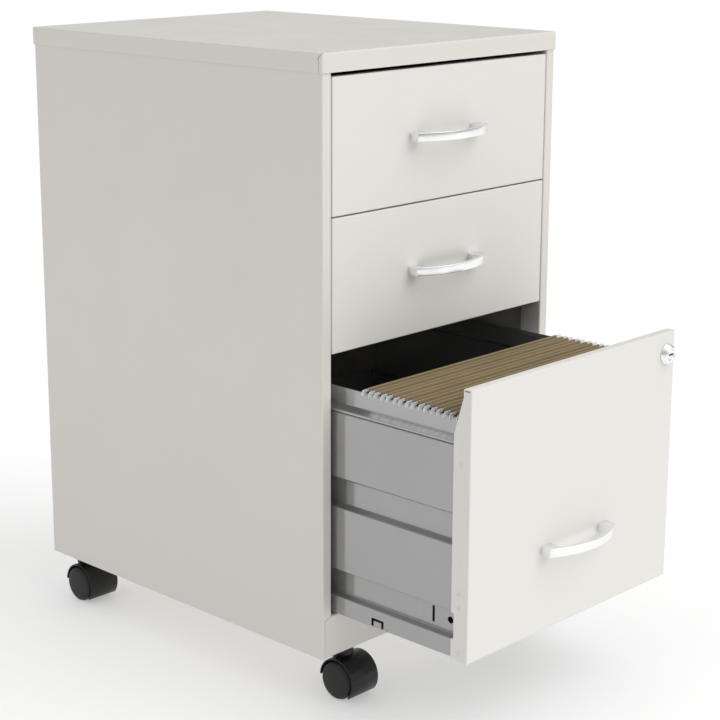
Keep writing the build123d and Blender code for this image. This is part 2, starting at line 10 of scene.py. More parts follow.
import bpy
from bpy.props import FloatProperty, FloatVectorProperty, PointerProperty
from bpy.types import Operator, Panel, PropertyGroup
from mathutils import Matrix, Vector


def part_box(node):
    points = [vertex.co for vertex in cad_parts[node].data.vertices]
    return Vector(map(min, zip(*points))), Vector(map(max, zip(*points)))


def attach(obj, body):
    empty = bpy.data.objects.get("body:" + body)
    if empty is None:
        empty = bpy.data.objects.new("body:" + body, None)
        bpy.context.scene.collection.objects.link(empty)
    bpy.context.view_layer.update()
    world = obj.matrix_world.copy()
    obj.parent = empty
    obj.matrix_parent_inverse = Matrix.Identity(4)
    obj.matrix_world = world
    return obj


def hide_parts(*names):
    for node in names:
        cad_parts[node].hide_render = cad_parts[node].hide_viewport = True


bl_info = {
    "name": "Pedestal Cabinet",
    "version": (1, 0, 0),
    "blender": (4, 5, 0),
    "location": "View3D > Sidebar > Cabinet",
    "description": "Builds the looks of a steel pedestal cabinet around its packed model",
    "category": "Object",
}

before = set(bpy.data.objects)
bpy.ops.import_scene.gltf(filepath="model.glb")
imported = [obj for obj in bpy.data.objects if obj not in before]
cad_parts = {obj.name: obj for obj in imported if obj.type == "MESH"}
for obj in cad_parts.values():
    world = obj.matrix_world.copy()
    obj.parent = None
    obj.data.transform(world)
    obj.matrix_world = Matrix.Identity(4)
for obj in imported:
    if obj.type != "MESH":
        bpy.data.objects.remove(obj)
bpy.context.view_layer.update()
CORNERS = ("front_left", "front_right", "rear_left", "rear_right")
DRAWERS = ("drawer_1", "drawer_2", "drawer_3")

# Steel: how far the drawers' clear-coated sheet shades as bare metal.
STEEL_METALLIC = 0.62

# Bow handle: a flat bar bent to an arc, its ends drawn back square to the drawer front.
HANDLE_END_DEPTH = 0.012
HANDLE_BAR = 0.0034
HANDLE_FOOT = 0.013
HANDLE_SQUARE_END = 0.004
HANDLE_STEPS = 24

# Spot welds on the flange of the file drawer's front: heights over the floor, and place on the flange.
WELD_HEIGHTS = (0.3065, 0.1766, 0.1620, 0.1153)
WELD_INSET = 0.0112
WELD_PROUD = 0.0005

# Key slot: an arc of ring with this mean radius, half length and half width.
SLOT_BEND = 0.012
SLOT_REACH = 0.0042
SLOT_HALF_WIDTH = 0.0011
SLOT_LONG = 0.009
SLOT_DEPTH = 0.0035
SLOT_RISE = 0.0004

# Hanging folders: sheets folded over two rods each, a mouth apart.
FOLDER_COUNT = 8
FOLDER_MOUTH = 0.0093
FOLDER_WRAP = 0.0010
FOLDER_HEM = 0.016
FOLDER_COLUMNS = 10
FOLDER_RIPPLE = 0.0021
FOLDER_WAVES = 21
ROD_THICKNESS = 0.0009
ROD_HOOK_REACH = 0.0062

# Casters: a wheel's radius, and its faces and bore measured out from the axle's middle.
WHEEL_RADIUS = 0.021
WHEEL_INNER = 0.0026
WHEEL_OUTER = 0.0215
AXLE_HOLE = 0.00305
AXLE_END = 0.0196

# Caster hood: an arc over both wheels, between two angles about the axle, from +Y over the top.
HOOD_HALF_WIDTH = 0.020
HOOD_OUTER = 0.024
HOOD_INNER = 0.022
HOOD_WALL = 0.002
HOOD_FIRST = 2.0
HOOD_LAST = 222.0
WEB_THICKNESS = 0.004

# Stage: light from below and above, one wide window, the floor and the camera.
GROUND_LIGHT = 0.25
SKY_LIGHT = 0.94
WINDOW_TOWARDS = (0.15, -0.28, 0.28)
WINDOW_STRENGTH = 1.31
WINDOW_ANGLE = 55
FLOOR_SIZE = 30
FLOOR_DROP = 0.0002
CAMERA_AZIMUTH = -45.56
CAMERA_ELEVATION = 13.77
CAMERA_DISTANCE = 2.0168
CAMERA_TARGET = (-0.01545, -0.0789, 0.3621)
CAMERA_LENS = 90.88
CAMERA_SHIFT = (0.0393, -0.0501)


# ---------------------------------------------------------------- sizes and colours


class CabinetSizes(PropertyGroup):
    """Sizes of the finer pieces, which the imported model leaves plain."""

    handle_edge: FloatProperty(
        name="Handle edge",
        description="Radius of the rounding along the handle's edges",
        default=0.0004,
        unit="LENGTH",
    )
    card_thickness: FloatProperty(
        name="Card",
        description="Thickness of the folder card",
        default=0.0005,
        unit="LENGTH",
    )
    card_sag: FloatProperty(
        name="Card sag",
        description="How far a folder's side bellies between its rods and its fold",
        default=0.0006,
        unit="LENGTH",
    )
    weld_radius: FloatProperty(
        name="Weld mark",
        description="Radius of the round marks that spot welds leave on the front's flange",
        default=0.0025,
        unit="LENGTH",
    )
    wheel_edge: FloatProperty(
        name="Wheel edge",
        description="Radius of the rounding round the wheel's face",
        default=0.0016,
        unit="LENGTH",
    )


def colour_setting(label, description, value):
    return FloatVectorProperty(
        name=label, description=description, default=value, subtype="COLOR", size=3, min=0, max=1
    )


class CabinetColours(PropertyGroup):
    """Base colours, in linear light."""

    shell: colour_setting("Cabinet", "Powder coat on the cabinet's panels", (0.750, 0.726, 0.672))
    front: colour_setting("Fronts", "Powder coat on the drawer fronts", (0.78, 0.765, 0.725))
    drawer: colour_setting("Drawer bodies", "Steel of the drawer bodies", (0.385, 0.385, 0.385))
    card: colour_setting("Card", "Folder card", (0.275, 0.205, 0.108))
    zinc: colour_setting("Zinc", "Zinc plating on rails, plates and screws", (0.60, 0.60, 0.60))
    chrome: colour_setting("Chrome", "Bright plating on handles and lock", (0.93, 0.93, 0.94))
    rod: colour_setting("Rods", "Bright steel of the folder rods", (0.80, 0.82, 0.84))
    moulding: colour_setting("Hoods", "Black nylon of the caster hoods", (0.009, 0.009, 0.0085))
    wheel: colour_setting("Wheels", "Black nylon of the wheels", (0.011, 0.011, 0.011))
    nylon: colour_setting("Glides", "Natural nylon of the glides", (0.72, 0.70, 0.64))
    floor: colour_setting("Floor", "Floor under the cabinet", (0.66, 0.66, 0.66))


# ---------------------------------------------------------------- materials


class Finish:
    """A surface finish under construction: one shader, and the nodes that vary it."""

    def __init__(self, name, colour, roughness, metallic=0.0):
        self.material = bpy.data.materials.new(name)
        self.material.use_nodes = True
        self.tree = self.material.node_tree
        self.shader = self.tree.nodes["Principled BSDF"]
        self.shader.inputs["Metallic"].default_value = metallic
        self.shader.inputs["Roughness"].default_value = roughness
        self.shader.inputs["Base Color"].default_value = (*colour, 1)
        self.colour = self.shader.inputs["Base Color"]
        self.place = self.node("ShaderNodeTexCoord").outputs["Object"]
        self.bumps = None

    def node(self, kind, **inputs):
        made = self.tree.nodes.new(kind)
        for label, value in inputs.items():
            self.plug(value, made.inputs[label.replace("_", " ")])
        return made

    def plug(self, value, socket):
        if isinstance(value, bpy.types.NodeSocket):
            self.tree.links.new(value, socket)
        else:
            socket.default_value = value

    def noise(self, size, detail=2.0, stretch=(1, 1, 1), roughness=0.5):
        """Soft random grain whose features are about `size` metres across."""
        place = self.node("ShaderNodeMapping", Vector=self.place, Scale=stretch).outputs[0]
        grain = self.node("ShaderNodeTexNoise", Vector=place, Scale=1 / size, Detail=detail)
        grain.inputs["Roughness"].default_value = roughness
        return grain.outputs[0]

    def between(self, amount, low, high, start=0.3, end=0.7):
        """Maps a grain to a range of values."""
        mapped = self.node("ShaderNodeMapRange", Value=amount)
        for label, value in (("From Min", start), ("From Max", end), ("To Min", low), ("To Max", high)):
            mapped.inputs[label].default_value = value
        return mapped.outputs[0]

    def tint(self, amount, colour):
        """Mixes a colour over what is there, as far as the amount says."""
        mix = self.node("ShaderNodeMix")
        mix.data_type = "RGBA"
        self.plug(amount, mix.inputs[0])
        if self.colour.is_linked:
            self.plug(self.colour.links[0].from_socket, mix.inputs[6])
        else:
            mix.inputs[6].default_value = self.colour.default_value
        self.plug(colour if isinstance(colour, bpy.types.NodeSocket) else (*colour, 1), mix.inputs[7])
        self.plug(mix.outputs[2], self.colour)

    def bump(self, height, depth, strength=1.0):
        """Adds relief `depth` metres deep."""
        relief = self.node("ShaderNodeBump", Height=height, Distance=depth, Strength=strength)
        if self.bumps is not None:
            self.plug(self.bumps, relief.inputs["Normal"])
        self.bumps = relief.outputs[0]
        self.plug(self.bumps, self.shader.inputs["Normal"])

    def soft_edges(self, radius):
        """Rounds sharp sheet edges in the shading."""
        edge = self.node("ShaderNodeBevel", Radius=radius)
        edge.samples = 4
        self.bumps = edge.outputs[0]
        self.plug(self.bumps, self.shader.inputs["Normal"])

    def roughen(self, amount):
        self.plug(amount, self.shader.inputs["Roughness"])

    def set(self, **values):
        for label, value in values.items():
            self.shader.inputs[label.replace("_", " ")].default_value = value


def shade(colour, amount):
    return tuple(min(1.0, channel * amount) for channel in colour)


def powder_coat(name, colour, roughness=0.40):
    """Sprayed and baked coat: faint cloudiness, fine orange peel and specks, softened sheet edges."""
    coat = Finish(name, colour, roughness)
    coat.tint(coat.between(coat.noise(0.16), 0.0, 0.5), shade(colour, 0.97))
    coat.tint(coat.between(coat.noise(0.0011), 0.0, 0.05, 0.55, 0.8), shade(colour, 0.7))
    coat.roughen(coat.between(coat.noise(0.05, 4), roughness - 0.05, roughness + 0.06))
    coat.soft_edges(0.0007)
    coat.bump(coat.noise(0.0016, 1.5), 0.00003, 0.5)
    coat.set(Coat_Weight=0.12, Coat_Roughness=0.28, IOR=1.47)
    return coat.material


def drawn_steel(name, colour, roughness=0.12, bare_highlight_before=None):
    """Clear-coated rolled steel: cloudy, with a faint grain along Y.

    Where a Y is given, what lies in front of that Y is a bare cut edge, tinted near white as a painted
    highlight line.
    """
    steel = Finish(name, colour, roughness, metallic=STEEL_METALLIC)
    steel.tint(steel.between(steel.noise(0.07, 2), 0.0, 0.4), shade(colour, 0.95))
    grain = steel.noise(0.0022, 2, (1, 0.08, 1))
    steel.roughen(steel.between(grain, roughness - 0.02, roughness + 0.04))
    steel.soft_edges(0.0008)
    steel.bump(grain, 0.000002, 0.2)
    if bare_highlight_before is not None:
        # The cut edge is bare metal, and its near-white warm tint is a painted highlight line; it is
        # also made fully metallic.
        along = steel.node("ShaderNodeSeparateXYZ", Vector=steel.place).outputs["Y"]
        bare_edge_highlight = steel.between(along, 1.0, 0.0, bare_highlight_before, bare_highlight_before + 0.0003)
        steel.tint(bare_edge_highlight, (1.0, 0.97, 0.86))
        metallic = steel.between(bare_edge_highlight, STEEL_METALLIC, 1.0, 0.0, 1.0)
        steel.plug(metallic, steel.shader.inputs["Metallic"])
    return steel.material


def bright_plate(name, colour, roughness=0.2):
    """Bright plating: nearly a mirror, with a soft haze and hair-fine polishing lines."""
    plate = Finish(name, colour, roughness, metallic=1.0)
    haze = plate.noise(0.02, 3)
    plate.tint(plate.between(haze, 0.0, 0.3), shade(colour, 0.93))
    plate.roughen(plate.between(haze, roughness, roughness + 0.08))
    plate.bump(plate.noise(0.0006, 1, (0.15, 1, 3)), 0.000004, 0.4)
    return plate.material


def zinc_plate(name, colour, roughness=0.36, metallic=1.0):
    """Zinc-plated or rolled steel: cloudy, with a rolling grain along Y."""
    plate = Finish(name, colour, roughness, metallic)
    plate.tint(plate.between(plate.noise(0.012, 3), 0.0, 0.45), shade(colour, 0.84))
    grain = plate.noise(0.0009, 2, (1, 0.06, 1))
    plate.roughen(plate.between(grain, roughness - 0.07, roughness + 0.1))
    plate.soft_edges(0.0005)
    plate.bump(grain, 0.00001, 0.4)
    return plate.material


def moulded_black(name, colour, roughness=0.42):
    """Moulded nylon: fine spark-eroded grain, a little paler where it is rubbed."""
    nylon = Finish(name, colour, roughness)
    nylon.tint(nylon.between(nylon.noise(0.018, 3), 0.0, 0.35, 0.45, 0.75), shade(colour, 1.6))
    fine = nylon.noise(0.0005, 2)
    nylon.roughen(nylon.between(fine, roughness - 0.06, roughness + 0.08))
    nylon.soft_edges(0.0006)
    nylon.bump(fine, 0.00002, 0.5)
    nylon.set(Specular_IOR_Level=0.36)
    return nylon.material


def pale_nylon(name, colour):
    nylon = Finish(name, colour, 0.45)
    nylon.tint(nylon.between(nylon.noise(0.01, 2), 0.0, 0.3), shade(colour, 0.9))
    nylon.roughen(nylon.between(nylon.noise(0.003), 0.38, 0.52))
    nylon.bump(nylon.noise(0.0008), 0.00002, 0.4)
    nylon.set(Subsurface_Weight=0.08, Subsurface_Scale=0.002)
    return nylon.material


def folder_card(name, colour):
    """Kraft card: streaky fibres and specks, matt, with a tone of its own on each folder."""
    card = Finish(name, colour, 0.82)
    tone = card.node("ShaderNodeAttribute")
    tone.attribute_name = "folder_tone"
    card.tint(card.between(tone.outputs["Fac"], 0.0, 0.6, 0.0, 1.0), shade(colour, 0.72))
    card.tint(card.between(card.noise(0.02, 4, (0.5, 1, 1)), 0.0, 0.45), shade(colour, 1.22))
    specks = card.noise(0.0008, 3, (0.12, 1, 1))
    card.tint(card.between(specks, 0.0, 0.4, 0.5, 0.75), shade(colour, 0.6))
    card.roughen(card.between(card.noise(0.004), 0.74, 0.9))
    card.bump(card.noise(0.0006, 3, (0.2, 1, 1)), 0.00004, 0.6)
    card.set(Sheen_Weight=0.12, Sheen_Roughness=0.6, Specular_IOR_Level=0.25)
    return card.material


def floor_finish(name, colour):
    floor = Finish(name, colour, 0.6)
    floor.tint(floor.between(floor.noise(0.6), 0.0, 0.1), shade(colour, 0.99))
    floor.roughen(floor.between(floor.noise(0.05), 0.55, 0.65))
    floor.bump(floor.noise(0.002), 0.00001, 0.2)
    floor.set(Emission_Color=(1, 1, 1, 1), Emission_Strength=0.37)
    return floor.material


# ---------------------------------------------------------------- modelling helpers


def start():
    """Leaves nothing selected, in object mode."""
    if bpy.context.object is not None and bpy.context.object.mode != "OBJECT":
        bpy.ops.object.mode_set(mode="OBJECT")
    bpy.ops.object.select_all(action="DESELECT")


def name_it(name):
    made = bpy.context.object
    made.name = name
    made.data.name = name
    return made


def apply_modifier(thing, kind, **settings):
    bpy.context.view_layer.objects.active = thing
    modifier = thing.modifiers.new(kind.title(), kind)
    for label, value in settings.items():
        setattr(modifier, label, value)
    bpy.ops.object.modifier_apply(modifier=modifier.name)


def round_edges(thing, width, segments=3, angle=30):
    apply_modifier(
        thing, "BEVEL", width=width, segments=segments, limit_method="ANGLE",
        angle_limit=math.radians(angle), harden_normals=False,
    )


def smooth(thing, angle=35):
    start()
    thing.select_set(True)
    bpy.context.view_layer.objects.active = thing
    bpy.ops.object.shade_smooth_by_angle(angle=math.radians(angle))


def drawn_line(name, points):
    """A chain of edges through the points, left selected in edit mode."""
    start()
    bpy.ops.mesh.primitive_plane_add(size=0.001, location=(0, 0, 0))
    made = name_it(name)
    bpy.ops.object.mode_set(mode="EDIT")
    bpy.ops.mesh.select_mode(type="VERT")
    bpy.ops.mesh.select_all(action="SELECT")
    bpy.ops.mesh.merge(type="CENTER")
    bpy.ops.transform.translate(value=points[0])
    for here, there in zip(points, points[1:]):
        step = Vector(there) - Vector(here)
        bpy.ops.mesh.extrude_region_move(TRANSFORM_OT_translate={"value": step})
    bpy.ops.mesh.select_all(action="SELECT")
    return made


def swept(thing, angle, steps, centre, axis):
    """Spins everything in the object by an angle that counts the right-hand way about the axis."""
    bpy.ops.object.mode_set(mode="EDIT")
    bpy.ops.mesh.select_mode(type="VERT")
    bpy.ops.mesh.select_all(action="SELECT")
    bpy.ops.mesh.spin(steps=steps, angle=-angle, center=centre, axis=axis)
    bpy.ops.mesh.select_all(action="SELECT")
    bpy.ops.mesh.remove_doubles(threshold=0.000005)
    bpy.ops.mesh.normals_make_consistent(inside=False)
    bpy.ops.object.mode_set(mode="OBJECT")


def turned(name, outline, centre, axis="X", steps=48):
    """Spins an outline of (along the axis, radius) points once round the axis."""
    start()
    made = drawn_line(name, [(along, 0, across) for along, across in outline])
    bpy.ops.mesh.spin(steps=steps, angle=math.tau, center=(0, 0, 0), axis=(1, 0, 0))
    bpy.ops.mesh.select_all(action="SELECT")
    bpy.ops.mesh.remove_doubles(threshold=0.00002)
    bpy.ops.mesh.normals_make_consistent(inside=False)
    bpy.ops.object.mode_set(mode="OBJECT")
    if axis == "Y":
        made.data.transform(Matrix.Rotation(math.radians(90), 4, "Z"))
    if axis == "Z":
        made.data.transform(Matrix.Rotation(math.radians(-90), 4, "Y"))
    made.data.transform(Matrix.Translation(centre))
    return made


def select_faces(thing, wanted):
    """Enters edit mode with only the wanted faces selected."""
    start()
    thing.select_set(True)
    bpy.context.view_layer.objects.active = thing
    bpy.ops.object.mode_set(mode="EDIT")
    bpy.ops.mesh.select_mode(type="FACE")
    bpy.ops.mesh.select_all(action="DESELECT")
    bpy.ops.object.mode_set(mode="OBJECT")
    for face in thing.data.polygons:
        face.select = wanted(face)
    bpy.ops.object.mode_set(mode="EDIT")


def copied(thing, name, move=(0, 0, 0), mirrored=False):
    """A copy with its own mesh, moved, or mirrored left to right about the object's own plane first."""
    twin = thing.copy()
    twin.data = thing.data.copy()
    twin.name = name
    twin.data.name = name
    bpy.context.scene.collection.objects.link(twin)
    if mirrored:
        twin.data.transform(Matrix.Scale(-1, 4, (1, 0, 0)))
        twin.data.flip_normals()
    twin.data.transform(Matrix.Translation(move))
    return twin


def joined(name, things):
    start()
    for thing in things:
        thing.select_set(True)
    bpy.context.view_layer.objects.active = things[0]
    bpy.ops.object.join()
    return name_it(name)


def finish_piece(thing, body, material, replaced=()):
    """Gives a piece its finish, its body and the CAD nodes it stands for."""
    thing.data.materials.clear()
    thing.data.materials.append(material)
    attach(thing, body)
    if replaced:
        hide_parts(*replaced)


def coat_nodes(names, material):
    """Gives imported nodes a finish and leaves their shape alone."""
    for name in names:
        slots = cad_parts[name].material_slots
        if not slots:
            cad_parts[name].data.materials.append(material)
        for place in slots:
            place.material = material


def middle(node):
    low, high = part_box(node)
    return (low + high) / 2


def colours():
    return bpy.context.scene.cabinet_colours


def sizes():
    return bpy.context.scene.cabinet_sizes


def colour(name):
    return tuple(getattr(colours(), name))


# ---------------------------------------------------------------- operators


class CABINET_OT_shell(Operator):
    """Coat the cap, the side panels, the back and the base"""

    bl_idname = "cabinet.shell"
    bl_label = "Cabinet Shell"

    def execute(self, context):
        panels = ("top_panel", "left_side_panel", "right_side_panel", "back_panel", "base_pan")
        coat_nodes(panels, powder_coat("shell powder coat", colour("shell")))
        return {"FINISHED"}


class CABINET_OT_rails(Operator):
    """Finish the cabinet's rails, the nylon glides and the fixings"""

    bl_idname = "cabinet.rails"
    bl_label = "Rails, Glides and Fixings"

    def execute(self, context):
        zinc = zinc_plate("zinc plate", colour("zinc"))
        nylon = pale_nylon("natural nylon", colour("nylon"))
        coat_nodes([f"{drawer}_cabinet_rails" for drawer in DRAWERS], zinc)
        coat_nodes([f"{drawer}_handle_screws" for drawer in DRAWERS], zinc)
        coat_nodes(["caster_screws", "lock_nut", "lock_cam"], zinc)
        for corner in CORNERS:
            coat_nodes([f"caster_{corner}_plate", f"caster_{corner}_axle"], zinc)
        coat_nodes(["rail_glides", *[f"{drawer}_rear_glides" for drawer in DRAWERS]], nylon)
        return {"FINISHED"}


class CABINET_OT_drawers(Operator):
    """Coat the drawer fronts and bodies, and add the weld marks on the file drawer's flange"""

    bl_idname = "cabinet.drawers"
    bl_label = "Drawers"

    def execute(self, context):
        front = powder_coat("front powder coat", colour("front"))
        steel = drawn_steel("drawer steel", colour("drawer"))
        # The back's front cut edge is bare steel with a painted bright highlight line along it.
        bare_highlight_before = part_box("drawer_3_back")[0].y + 0.0003
        back = drawn_steel("drawer back steel", colour("drawer"), 0.14, bare_highlight_before)
        rails = drawn_steel("rail steel", shade(colour("drawer"), 1.12), 0.12)
        coat_nodes([f"{drawer}_front" for drawer in DRAWERS], front)
        coat_nodes(["drawer_1_tray", "drawer_2_tray", "drawer_3_floor"], steel)
        coat_nodes(["drawer_3_left_side", "drawer_3_right_side", "drawer_3_inner_panel"], steel)
        coat_nodes(["drawer_3_back"], back)
        coat_nodes(["drawer_3_hanging_rails"], rails)
        self.weld_marks(front)
        return {"FINISHED"}

    def weld_marks(self, material):
        """Shallow ringed dimples where the front's flange is welded to the drawer's side."""
        low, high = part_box("drawer_3_front")
        radius = sizes().weld_radius
        dish = (
            (-0.0003, 0.0), (-0.0003, radius), (0.0001, radius), (WELD_PROUD, radius * 0.88),
            (WELD_PROUD, radius * 0.76), (0.0001, radius * 0.62), (0.00006, 0.0),
        )
        for side in (-1, 1):
            face = low.x if side < 0 else high.x
            outline = [(side * along, across) for along, across in dish]
            marks = []
            for height in WELD_HEIGHTS:
                marks.append(turned("mark", outline, (face, low.y + WELD_INSET, height), steps=24))
            mark = joined("weld_marks_left" if side < 0 else "weld_marks_right", marks)
            smooth(mark, 60)
            finish_piece(mark, "drawer_3", material)


class CABINET_OT_handles(Operator):
    """Bend a flat bar into a bow handle for each drawer"""

    bl_idname = "cabinet.handles"
    bl_label = "Handles"

    def execute(self, context):
        material = bright_plate("bright plate", colour("chrome"))
        for drawer in DRAWERS:
            self.bow(drawer, material)
        return {"FINISHED"}

    def bow(self, drawer, material):
        node = f"{drawer}_handle"
        low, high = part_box(node)
        half = (high.x - low.x) / 2
        height = high.z - low.z
        rise = high.y - low.y - HANDLE_END_DEPTH
        radius = (half * half + rise * rise) / (2 * rise)
        sweep = math.asin(half / radius)
        centre = Vector((0, low.y + radius, (low.z + high.z) / 2))
        start()
        bpy.ops.mesh.primitive_plane_add(size=1, location=(0, 0, 0))
        handle = name_it(f"{drawer}_bow_handle")
        handle.data.transform(Matrix.Diagonal((HANDLE_BAR, height, 1, 1)))
        handle.data.transform(Matrix.Rotation(math.radians(90), 4, "X"))
        handle.data.transform(Matrix.Translation((radius - HANDLE_BAR / 2, 0, 0)))
        handle.data.transform(Matrix.Rotation(-math.pi / 2 - sweep, 4, "Z"))
        handle.data.transform(Matrix.Translation(centre))
        swept(handle, 2 * sweep, HANDLE_STEPS, centre, (0, 0, 1))
        inner = radius - HANDLE_BAR

        def foot_face(face):
            """Says if a face lies on the back of the bar, near one of its ends."""
            away = (face.center - centre).to_2d().length
            on_back = abs(away - inner) < HANDLE_BAR * 0.3 and face.normal.y > 0.3
            return on_back and abs(face.center.x) > half - HANDLE_FOOT

        select_faces(handle, foot_face)
        bpy.ops.mesh.extrude_region_move(TRANSFORM_OT_translate={"value": (0, 0.002, 0)})
        bpy.ops.transform.resize(value=(1, 0, 1), center_override=(0, high.y, 0))
        bpy.ops.object.mode_set(mode="OBJECT")
        for corner in handle.data.vertices:
            if abs(corner.co.x) > half - HANDLE_SQUARE_END:
                corner.co.x = math.copysign(half, corner.co.x)
        round_edges(handle, sizes().handle_edge)
        smooth(handle)
        finish_piece(handle, drawer, material, [node])


class CABINET_OT_lock(Operator):
    """Turn the lock's bezel and barrel, and cut the key slot"""

    bl_idname = "cabinet.lock"
    bl_label = "Lock"

    def execute(self, context):
        material = bright_plate("lock plate", colour("chrome"), 0.24)
        self.bezel(material)
        self.barrel(material)
        return {"FINISHED"}

    def bezel(self, material):
        low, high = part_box("lock_housing")
        centre = Vector(((low.x + high.x) / 2, low.y, (low.z + high.z) / 2))
        rim = (high.x - low.x) / 2
        long = high.y - low.y
        outline = [
            (long, 0.0056), (long, 0.0080), (0.0061, 0.0080), (0.0060, rim - 0.0003),
            (0.0056, rim), (0.0052, rim), (0.0047, rim - 0.0004), (0.0008, rim - 0.0023),
            (0.0002, rim - 0.0030), (0.0, rim - 0.0037), (0.0, 0.0067), (0.0003, 0.0063),
            (0.0006, 0.0061), (0.0007, 0.0057), (0.0010, 0.0056), (long, 0.0056),
        ]
        bezel = turned("lock_bezel", outline, centre, "Y", 72)
        smooth(bezel, 40)
        finish_piece(bezel, "drawer_3", material, ["lock_housing"])

    def barrel(self, material):
        low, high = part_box("lock_plug")
        centre = Vector(((low.x + high.x) / 2, low.y, (low.z + high.z) / 2))
        long = high.y - low.y
        outline = [
            (long, 0.0), (long, 0.0024), (long - 0.0002, 0.0026), (long - 0.0034, 0.0026),
            (long - 0.0034, 0.0042), (0.0264, 0.0042), (0.0264, 0.0055), (0.0006, 0.0055),
            (0.0001, 0.0050), (0.0, 0.0047), (0.0001, 0.0044), (0.0001, 0.0),
        ]
        plug = turned("lock_barrel_plug", outline, centre, "Y", 72)
        cutter = self.key_slot(centre)
        apply_modifier(plug, "BOOLEAN", operation="DIFFERENCE", object=cutter, solver="EXACT")
        bpy.data.objects.remove(cutter)
        smooth(plug, 20)
        finish_piece(plug, "lock_barrel", material, ["lock_plug"])

    def key_slot(self, centre):
        """The solid that cuts the key slot, slightly bent: an arc of ring."""
        start()
        bpy.ops.mesh.primitive_plane_add(size=1, location=(0, 0, 0))
        cutter = name_it("key_slot_cutter")
        cutter.data.transform(Matrix.Diagonal((2 * SLOT_HALF_WIDTH, SLOT_LONG, 1, 1)))
        cutter.data.transform(Matrix.Translation((SLOT_BEND, SLOT_DEPTH, 0)))
        sweep = SLOT_REACH / SLOT_BEND
        spin_centre = centre + Vector((0, 0, SLOT_RISE - SLOT_BEND))
        cutter.data.transform(Matrix.Rotation(-math.pi / 2 + sweep, 4, "Y"))
        cutter.data.transform(Matrix.Translation(spin_centre))
        swept(cutter, -2 * sweep, 10, spin_centre, (0, 1, 0))
        return cutter


class CABINET_OT_folders(Operator):
    """Fold the card folders over their rods, and cut the rods with hooked ends"""

    bl_idname = "cabinet.folders"
    bl_label = "Hanging Folders"

    def execute(self, context):
        random.seed(11)
        card = folder_card("kraft card", colour("card"))
        steel = zinc_plate("bright rod steel", colour("rod"), 0.34, metallic=0.35)
        low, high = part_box("folder_rods")
        pitch = (high.y - low.y - FOLDER_MOUTH - ROD_THICKNESS) / (FOLDER_COUNT - 1)
        folders = []
        rods = []
        for number in range(FOLDER_COUNT):
            middle_y = low.y + (FOLDER_MOUTH + ROD_THICKNESS) / 2 + number * pitch
            folders.append(self.folder(middle_y))
            for leg in (-FOLDER_MOUTH / 2, FOLDER_MOUTH / 2):
                rods.append(self.rod(middle_y + leg))
        folder_set = joined("card_folders", folders)
        smooth(folder_set, 50)
        finish_piece(folder_set, "folders", card, ["hanging_folders"])
        rod_set = joined("hooked_rods", rods)
        finish_piece(rod_set, "folders", steel, ["folder_rods"])
        return {"FINISHED"}

    def folder(self, middle_y):
        """One sheet: up over the front rod, down to the fold, and up over the back rod."""
        low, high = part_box("hanging_folders")
        half = (high.x - low.x) / 2
        rod_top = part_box("folder_rods")[1].z
        sag = sizes().card_sag * random.uniform(0.6, 1.4)
        inside = FOLDER_MOUTH / 2 - FOLDER_WRAP
        outside = FOLDER_MOUTH / 2 + FOLDER_WRAP
        fold = low.z + random.uniform(0.0, 0.0015)
        top = rod_top - 0.0006
        shoulder = top - 0.0012
        outline = [(outside, top - FOLDER_HEM), (outside, top - FOLDER_HEM / 2), (outside, shoulder)]
        for step in range(1, 6):
            angle = math.pi * step / 6
            across = FOLDER_MOUTH / 2 + FOLDER_WRAP * math.cos(angle)
            outline.append((across, top + FOLDER_WRAP * math.sin(angle)))
        outline.append((inside, shoulder))
        for share in (0.12, 0.3, 0.5, 0.7, 0.88, 0.97):
            belly = sag * math.sin(math.pi * share)
            outline.append((inside * (1 - share) + belly, top - (top - fold) * share))
        outline.append((0.0, fold))
        whole = [(-across, up) for across, up in outline[:-1]] + list(reversed(outline))
        folder = drawn_line("folder", [(-half, middle_y + across, up) for across, up in whole])
        step = (2 * half / FOLDER_COLUMNS, 0, 0)
        for column in range(FOLDER_COLUMNS):
            bpy.ops.mesh.extrude_region_move(TRANSFORM_OT_translate={"value": step})
        bpy.ops.object.mode_set(mode="OBJECT")
        wave = random.uniform(0, math.tau)
        for point in folder.data.vertices:
            depth = (top - point.co.z) / (top - fold)
            swell = max(0.0, min(1.0, depth)) * (1 - depth)
            point.co.y += FOLDER_RIPPLE * math.sin(wave + point.co.x * FOLDER_WAVES) * swell
        bpy.ops.object.mode_set(mode="EDIT")
        bpy.ops.mesh.select_all(action="SELECT")
        bpy.ops.mesh.normals_make_consistent(inside=False)
        bpy.ops.object.mode_set(mode="OBJECT")
        apply_modifier(folder, "SOLIDIFY", thickness=sizes().card_thickness, offset=0)
        tone = folder.data.attributes.new("folder_tone", "FLOAT", "POINT")
        shade_of_folder = random.random()
        for value in tone.data:
            value.value = shade_of_folder
        return folder

    def rod(self, y):
        """A flat strip with a notch and a down-turned prong at each end."""
        low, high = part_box("folder_rods")
        rails_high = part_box("drawer_3_hanging_rails")[1]
        rail = rails_high.z
        card_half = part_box("hanging_folders")[1].x
        under = rail + 0.0011
        hook = rails_high.x - ROD_HOOK_REACH
        shape = [
            (0.0, under), (card_half, under), (hook - 0.0030, rail + 0.0002), (hook, rail + 0.0001),
            (hook + 0.0003, low.z + 0.0003), (hook + 0.0012, low.z), (high.x - 0.0008, low.z + 0.0001),
            (high.x, low.z + 0.0010), (high.x - 0.0002, high.z - 0.0018),
            (high.x - 0.0014, high.z - 0.0003), (high.x - 0.0030, high.z), (0.0, high.z),
        ]
        whole = shape + [(-across, up) for across, up in reversed(shape[1:-1])]
        rod = drawn_line("rod", [(across, y - ROD_THICKNESS / 2, up) for across, up in whole])
        bpy.ops.mesh.edge_face_add()
        bpy.ops.mesh.extrude_region_move(TRANSFORM_OT_translate={"value": (0, ROD_THICKNESS, 0)})
        bpy.ops.mesh.select_all(action="SELECT")
        bpy.ops.mesh.normals_make_consistent(inside=False)
        bpy.ops.object.mode_set(mode="OBJECT")
        return rod


